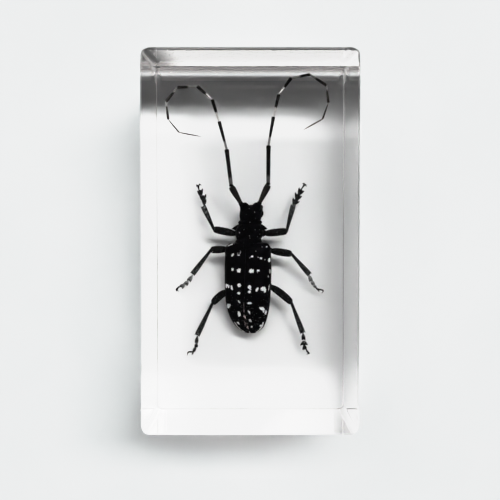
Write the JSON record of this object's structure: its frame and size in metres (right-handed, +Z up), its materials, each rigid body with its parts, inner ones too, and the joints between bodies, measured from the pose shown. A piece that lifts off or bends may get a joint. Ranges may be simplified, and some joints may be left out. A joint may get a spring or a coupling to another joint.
{
  "type": "insect in resin block",
  "caption": "Clear cast resin block with a real longhorn beetle sealed inside, a desk ornament or paperweight for looking at an insect from every side.",
  "frame": {"origin": "middle of the block's flat base, on the surface that it lies on", "axes": "+Y along the block's length towards the beetle's head, +X to the beetle's right side, +Z up from the flat base to the larger flat top, the way the beetle's back faces"},
  "size_m": [0.041, 0.073, 0.02],
  "materials": {
    "resin": "clear cast resin, polished",
    "beetle_shell": "black insect shell with white hair patches"
  },
  "bodies": {
    "root": {"resin_lower": "resin", "resin_upper": "resin", "longhorn_beetle": "beetle_shell"}
  },
  "joints": []
}
